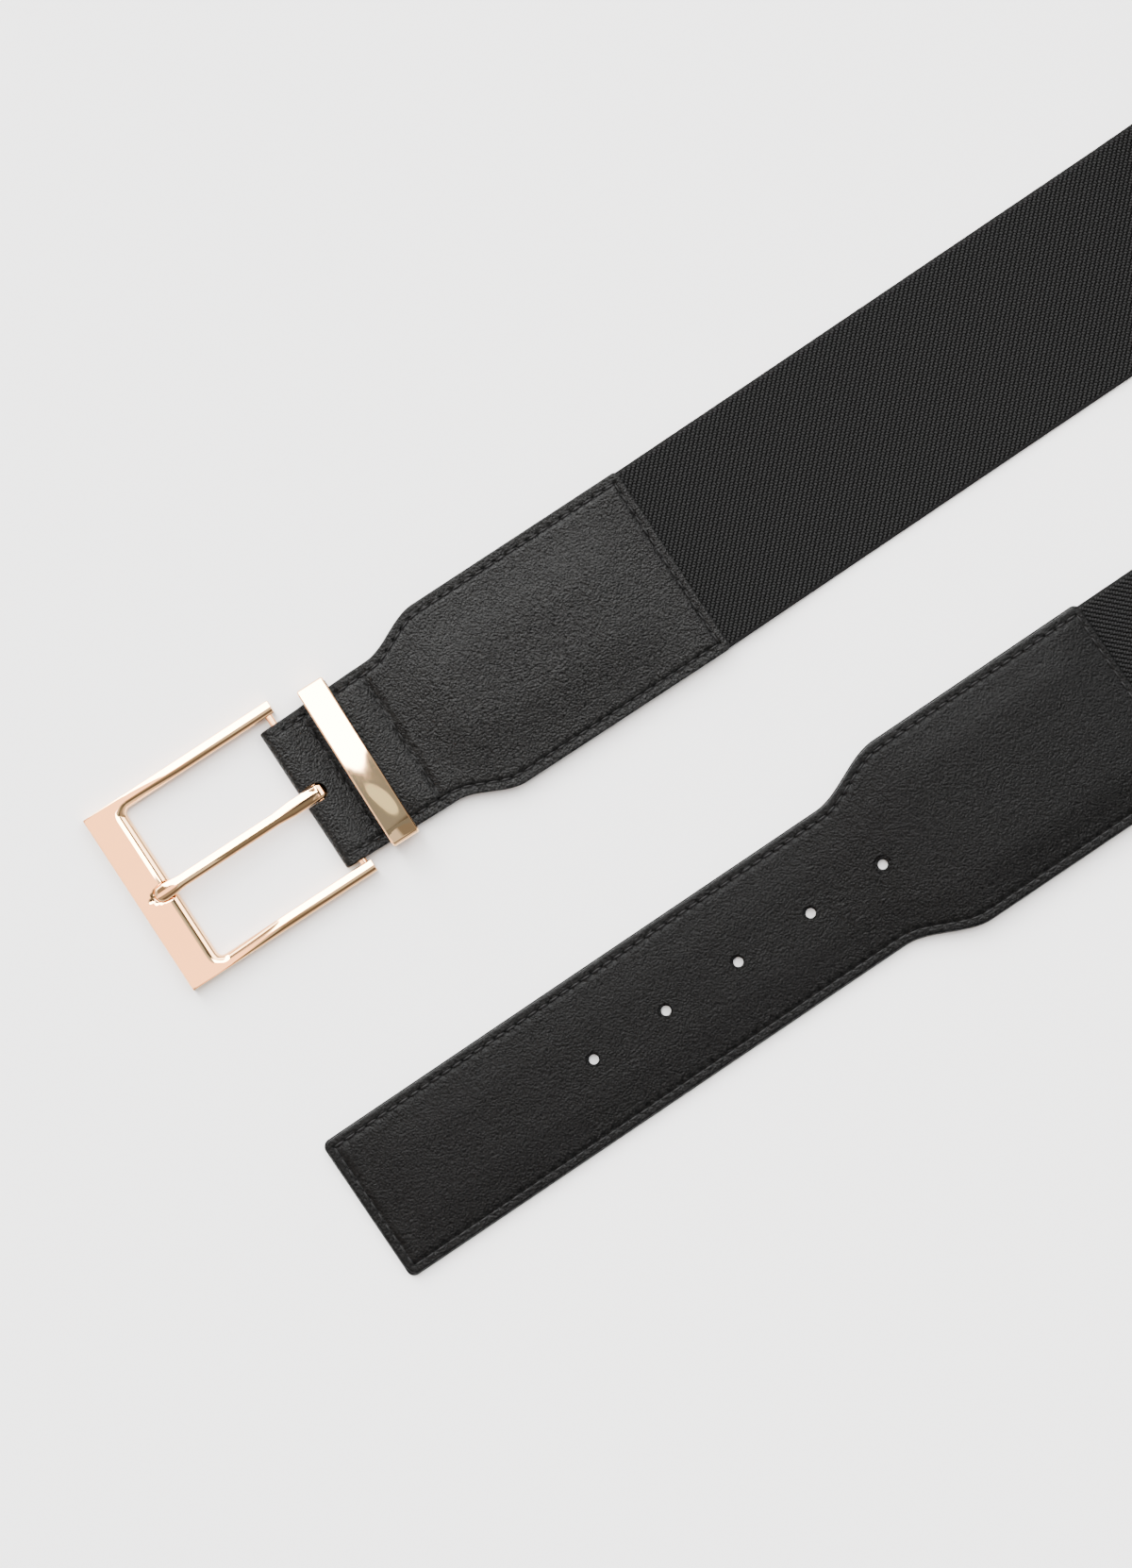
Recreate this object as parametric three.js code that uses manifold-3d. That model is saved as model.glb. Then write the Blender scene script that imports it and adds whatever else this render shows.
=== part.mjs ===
// Elastic stretch belt, open and laid down in a U, in millimetres, +Z up.
// X runs along both straps towards the turn. The buckle strap lies at +Y with its front face up,
// the tip strap at -Y with its back face up, and the elastic rolls half a turn on its way round.
import * as THREE from "three";
import { mergeVertices } from "three/addons/utils/BufferGeometryUtils.js";
import Module from "manifold-3d";

// Clearance between pieces that touch
const gap = 0.3;

// Elastic band
const elasticExposed = 560;
const elasticWidth = 60;
const elasticThickness = 1.5;
const elasticInTip = 66;
const settleLength = 45;
const turnLength = 350;

// How the two straps lie: the distance between their middles, and how far the mouth of the tip tab
// lies past the mouth of the buckle tab
const strapSpacing = 105.8;
const tipMouth = 89.1;

// Leather plies
const plyThickness = 1.3;
const backPlyThickness = 1.2;

// Buckle tab, with its neck, seams and keeper measured from its nose
const tabLength = 126.7;
const tabWideWidth = 60.6;
const tabNoseWidth = 46;
const tabNeckWidth = 47.8;
const tabNeck = 36.7;
const tabShoulder = 20;
const tabEndCorner = 1.5;
const tabLean = THREE.MathUtils.degToRad(0.8);
const noseToFirstSeam = 13.1;
const noseToSecondSeam = 33.6;
const noseToKeeper = 19.5;
const seamDip = 0.4;
const seamSlope = 1.1;
const padRise = 4.6;
const foldBackLap = 1.6;

// Tip tab, with its neck and holes measured from its tip
const tipLength = 266.7;
const tipWidth = 46.6;
const tipWideWidth = 61.9;
const tipNeck = 171;
const tipShoulder = 25;
const tipCorner = 2.5;
const tipPlyStep = 0.4;
const tipPlyRamp = 14;
const holeCount = 5;
const holeDiameter = 4;
const firstHole = 78.3;
const holePitch = 25;

// Buckle frame
const frameLength = 63;
const frameWidth = 58.1;
const windowWidth = 50.2;
const frontBarDepth = 11.5;
const frameHeight = 4.4;
const frameEdge = 0.35;
const innerRound = 2.25;
const innerCorner = 1.8;
const armSide = 2.4;
const frameDrift = 0.9;
const notchLength = 6.2;
const notchWidth = 5.8;
const notchDepth = 1;

// Bar that the leather and the prong turn on
const barDiameter = 2.2;
const barInset = 2.1;
const barSocket = 2.6;
const noseReach = 5;

// Prong
const prongLength = 55.1;
const prongRingWall = 1.1;
const prongRootWidth = 4.7;
const prongWidth = 3.8;
const prongTipWidth = 4.7;
const prongHeight = 2.4;
const prongTipLift = 1.1;
const slotWidth = 5.5;

// Keeper loop
const keeperDepth = 8.5;
const keeperWidth = 52.3;
const keeperWall = 1.2;
const keeperCorner = 1.3;
const keeperSkew = THREE.MathUtils.degToRad(0.8);

// Levels that follow from the plies
const elasticMiddle = backPlyThickness + gap + elasticThickness / 2;
const padUnderside = backPlyThickness + elasticThickness + 2 * gap;
const seamUnderside = plyThickness + gap;
const keeperUnderside = plyThickness + gap;
const pocketUnderside = keeperUnderside + keeperWall + gap;
const tipThickness = plyThickness + gap + plyThickness;
const barRadius = barDiameter / 2;
const barHole = barRadius + gap;
const barHeight = plyThickness + barHole;
const barBack = tabLength - noseReach;
const ringRadius = barHole + prongRingWall;
const eyeMiddle = barHeight - plyThickness / 2;
const eyeCentre = -tabLength + barHeight;

// Places on the buckle tab, as distances behind its wide end
const firstSeam = tabLength - noseToFirstSeam;
const secondSeam = tabLength - noseToSecondSeam;
const neckEnd = tabLength - tabNeck;
const padEnd = secondSeam - padRise;

// Places across and along the belt
const buckleStrapY = strapSpacing / 2;
const tipStrapY = -strapSpacing / 2;
const tipEndX = tipMouth - tipLength;

const wasm = await Module();
wasm.setup();

const vector = (x, y, z) => new THREE.Vector3(x, y, z);
const upright = vector(0, 0, 1);
const ramp = THREE.MathUtils.smoothstep;
const mix = THREE.MathUtils.lerp;
const steps = (count) => Array.from({ length: count + 1 }, (_, i) => i / count);

// A manifold solid of a closed geometry
function solidOf(geometry) {
  const bare = new THREE.BufferGeometry();
  bare.setAttribute("position", geometry.getAttribute("position"));
  bare.setIndex(geometry.index);
  const merged = mergeVertices(bare, 1e-4);
  return new wasm.Manifold(
    new wasm.Mesh({
      numProp: 3,
      vertProperties: merged.attributes.position.array,
      triVerts: new Uint32Array(merged.index.array),
    }),
  );
}

// The geometry of a manifold solid
function geometryOf(solid) {
  const { vertProperties, triVerts } = solid.getMesh();
  return new THREE.BufferGeometry()
    .setAttribute("position", new THREE.BufferAttribute(vertProperties, 3))
    .setIndex(new THREE.BufferAttribute(triVerts, 1));
}

// A closed sheet between rows of top and bottom points, each listed from the left edge to the right
function sheet(rows) {
  const lanes = rows[0].top.length;
  const ring = 2 * lanes;
  const points = rows.flatMap(({ top, bottom }) => [...top, ...[...bottom].reverse()]);
  const index = [];
  const quad = (a, b, c, d) => index.push(a, b, c, a, c, d);
  for (let row = 0; row + 1 < rows.length; row++) {
    for (let side = 0; side < ring; side++) {
      const next = (side + 1) % ring;
      const here = row * ring;
      quad(here + side, here + next, here + ring + next, here + ring + side);
    }
  }
  const last = (rows.length - 1) * ring;
  for (let lane = 0; lane + 1 < lanes; lane++) {
    const under = ring - 1 - lane;
    quad(lane + 1, lane, under, under - 1);
    quad(last + lane, last + lane + 1, last + under - 1, last + under);
  }
  return new THREE.BufferGeometry().setFromPoints(points).setIndex(index);
}

// A flat strip of even thickness along a route of middle points, each with its left direction and
// half width
function strip(route, thickness, lanes) {
  const rows = route.map(({ at, left, half }, i) => {
    const before = route[Math.max(i - 1, 0)].at;
    const after = route[Math.min(i + 1, route.length - 1)].at;
    const along = after.clone().sub(before).normalize();
    const normal = along.clone().cross(left).normalize();
    const line = (side) =>
      steps(lanes).map((share) =>
        at
          .clone()
          .addScaledVector(left, half * (1 - 2 * share))
          .addScaledVector(normal, (side * thickness) / 2),
      );
    return { top: line(1), bottom: line(-1) };
  });
  return sheet(rows);
}

// A solid with its outline in the X-Z plane, between two places in Y
function extrudeAcross(shape, fromY, toY, curveSegments) {
  const geometry = new THREE.ExtrudeGeometry(shape, {
    depth: toY - fromY,
    bevelEnabled: false,
    curveSegments,
  });
  return geometry.rotateX(Math.PI / 2).translate(0, toY, 0);
}

// A solid with its outline in the Y-Z plane, between two places in X
function extrudeAlong(shape, fromX, toX, curveSegments) {
  const geometry = new THREE.ExtrudeGeometry(shape, {
    depth: toX - fromX,
    bevelEnabled: false,
    curveSegments,
  });
  const axes = new THREE.Matrix4().makeBasis(vector(0, 1, 0), vector(0, 0, 1), vector(1, 0, 0));
  return geometry.applyMatrix4(axes).translate(fromX, 0, 0);
}

// A round solid along Y
function rodAcross(radius, fromY, toY, sides) {
  return new THREE.CylinderGeometry(radius, radius, toY - fromY, sides).translate(
    0,
    (fromY + toY) / 2,
    0,
  );
}

// Half width near a square end whose corners are rounded
function cornered(half, fromEnd, corner) {
  if (fromEnd >= corner) {
    return half;
  }
  const inward = corner - Math.max(fromEnd, 0);
  return half - corner + Math.sqrt(corner * corner - inward * inward);
}

// Half width of the buckle tab at a distance behind its wide end
function tabHalf(back) {
  const neck = mix(tabNeckWidth, tabNoseWidth, ramp(back, neckEnd, tabLength));
  const width = mix(tabWideWidth, neck, ramp(back, neckEnd - tabShoulder, neckEnd));
  return cornered(width / 2, back, tabEndCorner);
}

// Half width of the tip tab at a distance from its tip
function tipHalf(fromTip) {
  const half = mix(tipWidth, tipWideWidth, ramp(fromTip, tipNeck, tipNeck + tipShoulder)) / 2;
  const fromEnd = Math.min(fromTip, tipLength - fromTip);
  return cornered(half, fromEnd, tipCorner);
}

// Places along a leather tab: close together round a corner, even through a shoulder
const cornerSteps = (corner) => [0, 0.08, 0.3, 0.6, 1].map((share) => share * corner);
const shoulderSteps = (from, to) => steps(10).map((share) => mix(from, to, share));
const inOrder = (places) => [...new Set(places)].sort((a, b) => a - b);

// Height at a place on a profile, which eases from each of its levels to the next
function heightAt(profile, place) {
  const next = profile.findIndex((level) => level.place >= place);
  if (next <= 0) {
    return profile.at(next).height;
  }
  const from = profile[next - 1];
  const to = profile[next];
  return mix(from.height, to.height, ramp(place, from.place, to.place));
}

// Places that a profile needs: each level, and steps between two that differ
function profileSteps(profile) {
  return profile.flatMap(({ place, height }, i) => {
    const next = profile[i + 1] ?? { place, height };
    return steps(next.height === height ? 1 : 4).map((share) => mix(place, next.place, share));
  });
}

// Underside of the buckle tab's front ply: over the elastic, down to the second seam, over the
// keeper's pocket, down to the first seam and up over the bar
const frontProfile = [
  { place: 0, height: padUnderside },
  { place: padEnd, height: padUnderside },
  { place: secondSeam - seamDip, height: seamUnderside },
  { place: secondSeam + seamDip, height: seamUnderside },
  { place: secondSeam + seamDip + seamSlope, height: pocketUnderside },
  { place: firstSeam - seamDip - seamSlope, height: pocketUnderside },
  { place: firstSeam - seamDip, height: seamUnderside },
  { place: firstSeam + seamDip, height: seamUnderside },
  { place: barBack, height: barHeight + barHole },
];

// Front ply of the buckle tab, which folds round the bar and back under itself to the second seam
function buckleTabFront() {
  const station = (x, z) => ({ at: vector(x, 0, z), left: vector(0, -1, 0), half: tabHalf(-x) });
  const upper = inOrder([
    ...cornerSteps(tabEndCorner),
    ...shoulderSteps(neckEnd - tabShoulder, neckEnd),
    ...profileSteps(frontProfile),
  ]).map((back) => station(-back, heightAt(frontProfile, back) + plyThickness / 2));
  const nose = steps(12).map((share) => {
    const angle = Math.PI * (0.5 + share);
    return station(
      eyeCentre + eyeMiddle * Math.cos(angle),
      barHeight + eyeMiddle * Math.sin(angle),
    );
  });
  const lower = [firstSeam, secondSeam, secondSeam - foldBackLap].map((back) =>
    station(-back, plyThickness / 2),
  );
  const slotLength = noseReach + ringRadius + 2 * gap;
  const slot = new THREE.BoxGeometry(slotLength, slotWidth, 4 * barHeight);
  slot.translate(-tabLength - gap + slotLength / 2, 0, barHeight);
  const ply = solidOf(strip([...upper, ...nose, ...lower], plyThickness, 2));
  return geometryOf(ply.subtract(solidOf(slot)));
}

// Back ply of the buckle tab, from the folded end of the front ply to the wide end
function buckleTabBack() {
  const start = secondSeam - foldBackLap - gap;
  const route = inOrder([
    start,
    ...shoulderSteps(neckEnd - tabShoulder, neckEnd).filter((back) => back < start),
    ...cornerSteps(tabEndCorner),
  ]).map((back) => ({
    at: vector(-back, 0, backPlyThickness / 2),
    left: vector(0, 1, 0),
    half: tabHalf(back),
  }));
  return strip(route.reverse(), backPlyThickness, 2);
}

// Undersides of the tip tab's plies: the lower lies flat, the upper lies on it and then rises over
// the end of the elastic
const tipRampEnd = tipLength - elasticInTip - gap;
const lowerTipProfile = [
  { place: 0, height: 0 },
  { place: tipLength, height: 0 },
];
const upperTipProfile = [
  { place: 0, height: plyThickness + gap },
  { place: tipRampEnd - tipPlyRamp, height: plyThickness + gap },
  { place: tipRampEnd, height: plyThickness + elasticThickness + 2 * gap },
  { place: tipLength, height: plyThickness + elasticThickness + 2 * gap },
];

function tipPly(profile, inset) {
  const corners = cornerSteps(tipCorner);
  const route = inOrder([
    ...corners,
    ...corners.map((corner) => tipLength - corner),
    ...shoulderSteps(tipNeck, tipNeck + tipShoulder),
    ...profileSteps(profile),
  ]).map((fromTip) => ({
    at: vector(tipEndX + fromTip, 0, heightAt(profile, fromTip) + plyThickness / 2),
    left: vector(0, 1, 0),
    half: tipHalf(fromTip) - inset,
  }));
  const holeRadius = holeDiameter / 2;
  let ply = solidOf(strip(route, plyThickness, 2));
  for (let i = 0; i < holeCount; i++) {
    const hole = new THREE.CylinderGeometry(holeRadius, holeRadius, 4 * tipThickness, 20);
    hole.rotateX(Math.PI / 2).translate(tipEndX + firstHole + i * holePitch, 0, 0);
    ply = ply.subtract(solidOf(hole));
  }
  return geometryOf(ply);
}

// The turn of the elastic, hidden past the straight strands. Each row adds its part of a whole
// change between two shares of the turn's length: heading and roll as shares of half a turn, lift
// as a share of the elastic's width.
const turnChanges = [
  { what: "heading", from: 0.2, to: 0.56, part: 0.55 },
  { what: "heading", from: 0.36, to: 0.84, part: 0.45 },
  { what: "roll", from: 0, to: 0.45, part: 0.6 },
  { what: "roll", from: 0.6, to: 1, part: 0.4 },
  { what: "lift", from: 0.22, to: 0.46, part: 0.3 },
  { what: "lift", from: 0.46, to: 0.86, part: -0.3 },
];
const turnSteps = 64;

function turnValue(what, share) {
  return turnChanges
    .filter((change) => change.what === what)
    .reduce((sum, { from, to, part }) => sum + part * ramp(share, from, to), 0);
}

// Middle points and left directions of the turn, from (0, 0) with the elastic flat on the surface
function turnRoute() {
  const height = (share) => {
    const roll = Math.PI * turnValue("roll", share);
    return (
      turnValue("lift", share) * elasticWidth +
      (elasticWidth / 2) * Math.sin(roll) +
      (elasticThickness / 2) * Math.abs(Math.cos(roll))
    );
  };
  const step = turnLength / turnSteps;
  const place = vector(0, 0, height(0));
  const places = [place.clone()];
  for (let i = 0; i < turnSteps; i++) {
    const rise = height((i + 1) / turnSteps) - height(i / turnSteps);
    const advance = Math.sqrt(Math.max(step * step - rise * rise, 0));
    const heading = -Math.PI * turnValue("heading", (i + 0.5) / turnSteps);
    place.add(vector(advance * Math.cos(heading), advance * Math.sin(heading), rise));
    places.push(place.clone());
  }
  const missing = -strapSpacing - place.y;
  places.forEach((at, i) => {
    at.y += missing * ramp(i / turnSteps, 0, 1);
  });
  return places.map((at, i) => {
    const before = places[Math.max(i - 1, 0)];
    const after = places[Math.min(i + 1, turnSteps)];
    const along = i === 0 ? vector(1, 0, 0) : after.clone().sub(before).normalize();
    const level = upright.clone().cross(along).normalize();
    const upward = along.clone().cross(level);
    const roll = Math.PI * turnValue("roll", i / turnSteps);
    const left = level.multiplyScalar(Math.cos(roll)).addScaledVector(upward, Math.sin(roll));
    return { at, left };
  });
}

const turn = turnRoute();
const turnReach = turn[turn.length - 1].at.x;
const turnStart = (elasticExposed - turnLength + tipMouth - turnReach) / 2;

// The elastic band: from inside the buckle tab, down to the surface, round the turn and up into the
// tip tab
function elasticBand() {
  const flat = elasticThickness / 2;
  const leftInTab = vector(0, 1, 0).applyAxisAngle(upright, -tabLean);
  const inTab = shoulderSteps(padEnd - gap, neckEnd - tabShoulder).map((back) => ({
    at: vector(-back, 0, elasticMiddle)
      .applyAxisAngle(upright, -tabLean)
      .add(vector(0, buckleStrapY, 0)),
    left: leftInTab,
    half: Math.min(elasticWidth / 2, tabHalf(back) - gap),
  }));
  const settle = (mouth, y) =>
    steps(8).map((share) => ({
      at: vector(mouth + share * settleLength, y, mix(elasticMiddle, flat, ramp(share, 0, 1))),
      left: vector(0, 1, 0),
      half: elasticWidth / 2,
    }));
  const around = turn.map(({ at, left }) => ({
    at: at.clone().add(vector(turnStart, buckleStrapY, 0)),
    left,
    half: elasticWidth / 2,
  }));
  const inTip = {
    at: vector(tipMouth - elasticInTip, tipStrapY, elasticMiddle),
    left: vector(0, 1, 0),
    half: elasticWidth / 2,
  };
  const down = settle(0, buckleStrapY);
  const up = settle(tipMouth, tipStrapY).reverse();
  return strip([...inTab, ...down, ...around, ...up, inTip], elasticThickness, 6);
}

// Buckle frame, with x = 0 at its front edge
function buckleFrame() {
  const armWidth = (frameWidth - windowWidth) / 2;
  const barProfile = new THREE.Shape()
    .moveTo(frameEdge, 0)
    .lineTo(frontBarDepth - frameEdge, 0)
    .lineTo(frontBarDepth, frameEdge)
    .lineTo(frontBarDepth, frameHeight - innerRound);
  barProfile.absarc(
    frontBarDepth - innerRound,
    frameHeight - innerRound,
    innerRound,
    0,
    Math.PI / 2,
    false,
  );
  barProfile.lineTo(frameEdge, frameHeight).lineTo(0, frameHeight - frameEdge).lineTo(0, frameEdge);
  let frame = solidOf(extrudeAcross(barProfile, -frameWidth / 2, frameWidth / 2, 6));
  const rise = barHeight - frameHeight / 2;
  const barX = frameLength - barInset;
  for (const side of [-1, 1]) {
    const middle = side * (frameWidth - armWidth) * 0.5;
    const armProfile = new THREE.Shape()
      .moveTo(armWidth / 2 - frameEdge, 0)
      .lineTo(armWidth / 2, frameEdge)
      .lineTo(armWidth / 2, armSide);
    armProfile.absellipse(0, armSide, armWidth / 2, frameHeight - armSide, 0, Math.PI, false, 0);
    armProfile.lineTo(-armWidth / 2, frameEdge).lineTo(-armWidth / 2 + frameEdge, 0);
    const arm = extrudeAlong(armProfile, frameEdge, frameLength, 8)
      .applyMatrix4(new THREE.Matrix4().makeShear(0, rise / barX, 0, 0, 0, 0))
      .translate(0, middle, 0);
    frame = frame.add(solidOf(arm));
    const fillet = new THREE.Shape().moveTo(-gap, -gap).lineTo(innerCorner, -gap);
    fillet.lineTo(innerCorner, 0);
    fillet.absarc(innerCorner, innerCorner, innerCorner, -Math.PI / 2, -Math.PI, true);
    fillet.lineTo(-gap, innerCorner);
    const web = new THREE.ExtrudeGeometry(fillet, {
      depth: armSide,
      bevelEnabled: false,
      curveSegments: 5,
    });
    web.translate(0, -windowWidth / 2, frameEdge);
    if (side > 0) {
      web.rotateX(Math.PI).translate(0, 0, armSide + 2 * frameEdge);
    }
    frame = frame.add(solidOf(web.translate(frontBarDepth, 0, 0)));
    const socket = rodAcross(barHole, 0, barSocket + gap, 20);
    socket.translate(barX, side > 0 ? windowWidth / 2 - gap : -windowWidth / 2 - barSocket, 0);
    frame = frame.subtract(solidOf(socket.translate(0, 0, barHeight)));
  }
  const notch = new THREE.SphereGeometry(1, 24, 16)
    .scale(notchLength, notchWidth / 2, notchDepth)
    .translate(frontBarDepth, -frameDrift, frameHeight);
  return geometryOf(frame.subtract(solidOf(notch)));
}

// Bar between the frame's arms
function buckleBar() {
  const reach = windowWidth / 2 + barSocket - gap;
  return rodAcross(barRadius, -reach, reach, 20);
}

// Prong, from its ring round the bar at x = 0 to its tip at -prongLength
const prongSections = [
  { along: 0.0, width: prongRootWidth, height: 0.6, lift: 0 },
  { along: 0.06, width: prongRootWidth, height: 1.0, lift: 0.1 },
  { along: 0.16, width: prongRootWidth, height: 1.0, lift: 0.25 },
  { along: 0.26, width: prongWidth, height: 1.0, lift: 0.4 },
  { along: 0.6, width: prongWidth, height: 1.0, lift: 0.8 },
  { along: 0.84, width: prongWidth, height: 1.0, lift: 1 },
  { along: 0.9, width: prongTipWidth, height: 1.0, lift: 1 },
  { along: 0.96, width: prongTipWidth, height: 0.92, lift: 1.04 },
  { along: 0.985, width: 0.8 * prongTipWidth, height: 0.7, lift: 1.15 },
  { along: 1.0, width: 0.45 * prongTipWidth, height: 0.35, lift: 1.3 },
];

function prong() {
  const rows = prongSections.map(({ along, width, height, lift }) => {
    const middle = vector(
      -along * prongLength,
      0,
      ringRadius - prongHeight / 2 + lift * prongTipLift,
    );
    const line = (side) =>
      steps(8).map((share) => {
        const angle = Math.PI * share;
        const bulge = Math.max(Math.sin(angle), 0.12) * 0.5 * height * prongHeight;
        return middle.clone().add(vector(0, -0.5 * width * Math.cos(angle), side * bulge));
      });
    return { top: line(1).reverse(), bottom: line(-1).reverse() };
  });
  rows.reverse();
  const outer = rodAcross(ringRadius, -prongRootWidth / 2, prongRootWidth / 2, 28);
  const inner = rodAcross(barHole, -prongRootWidth, prongRootWidth, 28);
  const body = solidOf(sheet(rows)).add(solidOf(outer)).subtract(solidOf(inner));
  return geometryOf(body);
}

// Keeper loop, with its rear bar in the pocket under the front ply and room for the tip above
function keeperLoop() {
  const strapTop = pocketUnderside + plyThickness;
  const height = strapTop + gap + tipThickness + gap + keeperWall - keeperUnderside;
  const rounded = (path, width, tall, low, corner) => {
    const right = width / 2;
    path.moveTo(right, low + corner);
    path.absarc(right - corner, low + tall - corner, corner, 0, Math.PI / 2, false);
    path.absarc(corner - right, low + tall - corner, corner, Math.PI / 2, Math.PI, false);
    path.absarc(corner - right, low + corner, corner, Math.PI, 1.5 * Math.PI, false);
    path.absarc(right - corner, low + corner, corner, 1.5 * Math.PI, 2 * Math.PI, false);
    return path;
  };
  const outline = rounded(new THREE.Shape(), keeperWidth, height, keeperUnderside, keeperCorner);
  const inside = rounded(
    new THREE.Path(),
    keeperWidth - 2 * keeperWall,
    height - 2 * keeperWall,
    keeperUnderside + keeperWall,
    gap,
  );
  outline.holes.push(inside);
  return extrudeAlong(outline, -keeperDepth / 2, keeperDepth / 2, 6);
}

const leather = { color: 0x232323, roughness: 0.5, metalness: 0 };
const webbing = { color: 0x111112, roughness: 0.95, metalness: 0 };
const roseGold = { color: 0xe8c4a6, roughness: 0.18, metalness: 1 };

function piece(name, geometry, finish) {
  geometry.computeVertexNormals();
  const mesh = new THREE.Mesh(geometry, new THREE.MeshStandardMaterial(finish));
  mesh.name = name;
  return mesh;
}

// Buckle tab with its hardware, all turned a little on the strap's axis
const buckleEnd = new THREE.Group();
buckleEnd.position.set(0, buckleStrapY, 0);
buckleEnd.rotation.z = -tabLean;

const frame = piece("buckle_frame", buckleFrame(), roseGold);
frame.position.set(-barBack + barInset - frameLength, frameDrift, 0);
const bar = piece("buckle_bar", buckleBar(), roseGold);
bar.position.set(-barBack, frameDrift, barHeight);
const pin = piece("prong", prong(), roseGold);
pin.position.set(-barBack, 0, barHeight);
const keeper = piece("keeper_loop", keeperLoop(), roseGold);
keeper.position.set(noseToKeeper - tabLength, frameDrift, 0);
keeper.rotation.z = -keeperSkew;
buckleEnd.add(
  piece("buckle_tab_front", buckleTabFront(), leather),
  piece("buckle_tab_back", buckleTabBack(), leather),
  frame,
  bar,
  pin,
  keeper,
);

const tipEnd = new THREE.Group();
tipEnd.position.set(0, tipStrapY, 0);
tipEnd.add(
  piece("tip_tab_front", tipPly(lowerTipProfile, 0), leather),
  piece("tip_tab_back", tipPly(upperTipProfile, tipPlyStep), leather),
);

const belt = new THREE.Group();
belt.add(piece("elastic_band", elasticBand(), webbing), buckleEnd, tipEnd);

// The origin is the middle of the belt's outline, on the surface that it lies on
belt.updateMatrixWorld(true);
const outline = new THREE.Box3().setFromObject(belt, true);
belt.position.set(
  -(outline.min.x + outline.max.x) / 2,
  -(outline.min.y + outline.max.y) / 2,
  -outline.min.z,
);

export default belt;
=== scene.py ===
"""Looks of the elastic stretch belt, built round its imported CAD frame. Lengths are in millimetres."""

import math

import bmesh
import bpy
import numpy as np
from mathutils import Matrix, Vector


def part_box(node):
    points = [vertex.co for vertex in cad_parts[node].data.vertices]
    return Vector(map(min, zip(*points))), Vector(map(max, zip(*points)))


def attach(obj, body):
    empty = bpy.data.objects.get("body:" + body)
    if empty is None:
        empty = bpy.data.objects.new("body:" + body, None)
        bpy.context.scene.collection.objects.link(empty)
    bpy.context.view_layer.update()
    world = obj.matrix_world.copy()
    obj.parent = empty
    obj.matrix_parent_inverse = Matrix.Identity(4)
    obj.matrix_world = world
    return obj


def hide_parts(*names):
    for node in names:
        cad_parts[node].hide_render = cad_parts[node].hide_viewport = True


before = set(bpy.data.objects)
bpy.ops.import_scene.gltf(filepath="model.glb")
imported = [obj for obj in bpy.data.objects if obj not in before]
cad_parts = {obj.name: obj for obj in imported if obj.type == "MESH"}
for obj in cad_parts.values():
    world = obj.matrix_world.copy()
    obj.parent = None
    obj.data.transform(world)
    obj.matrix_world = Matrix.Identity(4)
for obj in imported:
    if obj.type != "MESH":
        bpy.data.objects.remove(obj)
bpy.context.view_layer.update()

MM = 0.001

# Sizes that the part's source names too
GAP = 0.3
STRAP_SPACING = 105.8
TIP_MOUTH = 89.1
ELASTIC_EXPOSED = 560
ELASTIC_WIDTH = 60
ELASTIC_THICKNESS = 1.5
ELASTIC_IN_TIP = 66
SETTLE = 45
TURN = 350
PLY = 1.3
BACK_PLY = 1.2
TAB = 126.7
TAB_WIDE = 60.6
TAB_NOSE = 46
TAB_NECK = 47.8
TAB_NECK_END = 90
TAB_SHOULDER_END = 70
TAB_CORNER = 1.5
TAB_LEAN = math.radians(0.8)
FIRST_SEAM = 113.6
SECOND_SEAM = 93.1
PAD_END = 88.5
FOLD_END = 91.5
BAR_BACK = 121.7
BAR_HEIGHT = 2.7
BAR_RADIUS = 1.1
TIP = 266.7
TIP_WIDTH = 46.6
TIP_WIDE = 61.9
TIP_NECK = 171
TIP_SHOULDER = 25
TIP_CORNER = 2.5
HOLES = [78.3 + 25 * i for i in range(5)]
HOLE = 4.0
FRAME_LENGTH = 63
FRAME_WIDTH = 58.1
WINDOW = 50.2
FRONT_BAR = 11.5
FRAME_HEIGHT = 4.4
FRAME_DRIFT = 0.9
BAR_INSET = 2.1
KEEPER_BACK = 107.2
KEEPER_SKEW = math.radians(0.8)

# Where the ends of the straps lie in the row frame
tip_low, tip_high = (np.array(c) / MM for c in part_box("tip_tab_front"))
tip_x = tip_low[0]
tip_y = (tip_low[1] + tip_high[1]) / 2
mouth_x = tip_x + TIP - TIP_MOUTH
buckle_y = tip_y + STRAP_SPACING


# Helpers


def smooth(x, start, end):
    t = np.clip((np.asarray(x, float) - start) / (end - start), 0, 1)
    return t * t * (3 - 2 * t)


def mix(a, b, t):
    return a + (b - a) * t


def levels(x, table):
    """Height at x on a table of (place, height), easing from each to the next."""
    x = np.asarray(x, float)
    z = np.full(x.shape, float(table[0][1]))
    for (a, za), (b, zb) in zip(table, table[1:]):
        z = np.where(x >= a, mix(za, zb, smooth(x, a, b)), z)
    return z


def turned(points, angle, origin=(0, 0, 0)):
    """Points turned about +Z, then moved so that (0, 0, 0) comes to origin."""
    c, s = math.cos(angle), math.sin(angle)
    p = np.asarray(points, float)
    x, y = p[..., 0], p[..., 1]
    return np.stack([c * x - s * y, s * x + c * y, p[..., 2]], -1) + np.asarray(origin)


def at_buckle_end(points):
    """From the buckle tab's own frame (x = 0 at its wide end) to the row frame."""
    return turned(points, -TAB_LEAN, (mouth_x, buckle_y, 0))


def at_tip_end(points):
    """From the tip tab's own frame (x = 0 at its tip) to the row frame."""
    return np.asarray(points, float) + np.array([tip_x, tip_y, 0])


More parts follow.
